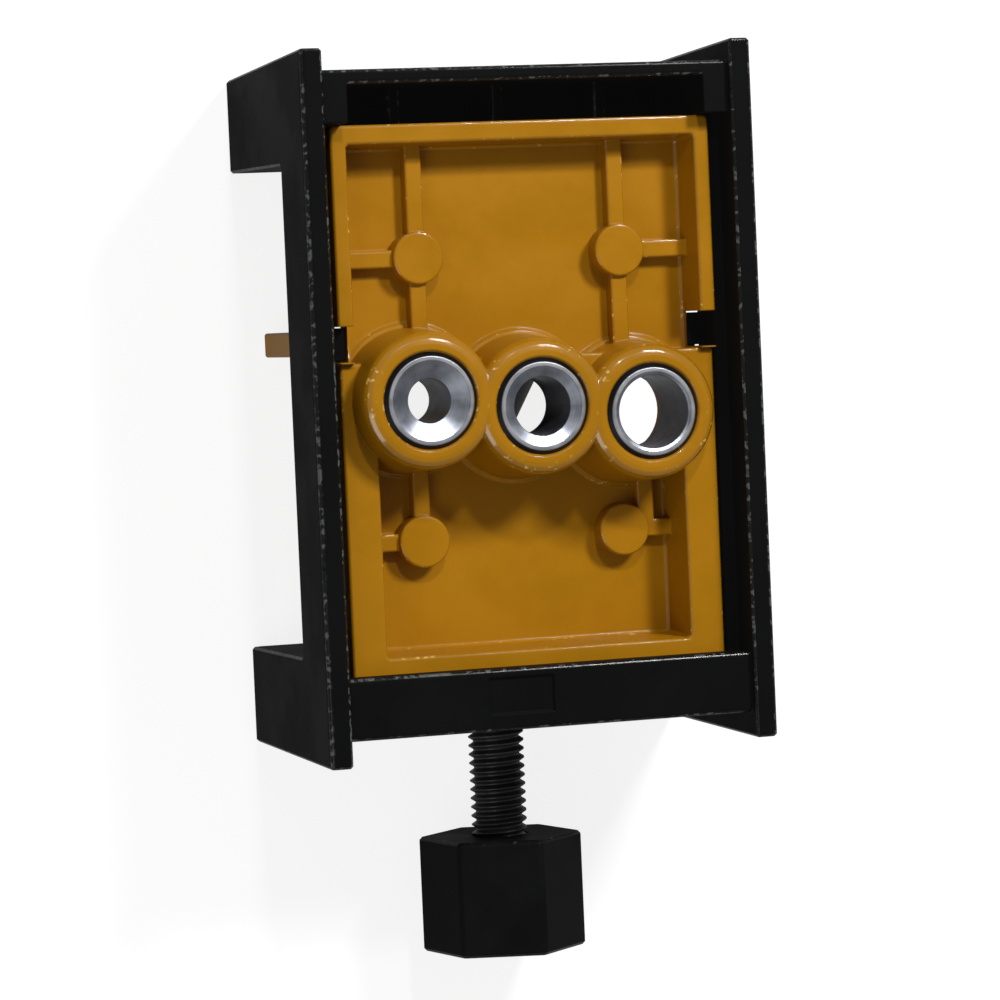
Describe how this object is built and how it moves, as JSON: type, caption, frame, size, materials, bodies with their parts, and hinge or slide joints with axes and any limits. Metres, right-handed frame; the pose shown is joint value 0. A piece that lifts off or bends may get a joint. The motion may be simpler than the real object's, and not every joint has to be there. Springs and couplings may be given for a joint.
{
  "type": "doweling jig",
  "caption": "Hand-held doweling jig: a moulded C frame with a guide plate of steel drill bushings, a fence and a clamp screw that grips the board's faces.",
  "frame": {"origin": "centre of the bounding box at the height of the surface that the jig lies on: the plane of the arms' back edges", "axes": "+X along the row of bushings from the smallest bore to the largest, +Y up the jig from the knob to the top arm, +Z out of the drilling face"},
  "size_m": [0.065, 0.1268, 0.0385],
  "materials": {
    "frame_plastic": "black glass-filled nylon, fine moulded grain, scuffed edges",
    "guide_plastic": "ochre-yellow moulded plastic with a soft sheen",
    "bushing_steel": "turned and hardened steel, fine turning marks",
    "screw_steel": "blackened steel, lightly oiled",
    "knob_plastic": "black moulded plastic"
  },
  "bodies": {
    "jig": {"frame": "frame_plastic", "guide_plate": "guide_plastic", "bushing_6": "bushing_steel", "bushing_8": "bushing_steel", "bushing_10": "bushing_steel", "captive_nut": "screw_steel"},
    "pad": {"pressure_pad": "knob_plastic"},
    "screw": {"clamp_screw": "screw_steel", "clamp_knob": "knob_plastic"}
  },
  "joints": [
    {"name": "clamp_travel", "type": "slide", "parent": "jig", "child": "pad", "axis": [0, 1, 0], "range_m": [-0.0275, 0.002]},
    {"name": "screw_turn", "type": "hinge", "parent": "pad", "child": "screw", "pos_m": [0, -0.006, 0.01175], "axis": [0, 1, 0], "range_deg": [-7920, 576]}
  ],
  "couplings": [
    {"joint": "screw_turn", "follows": "clamp_travel", "rad_per_m": 5026.5}
  ]
}
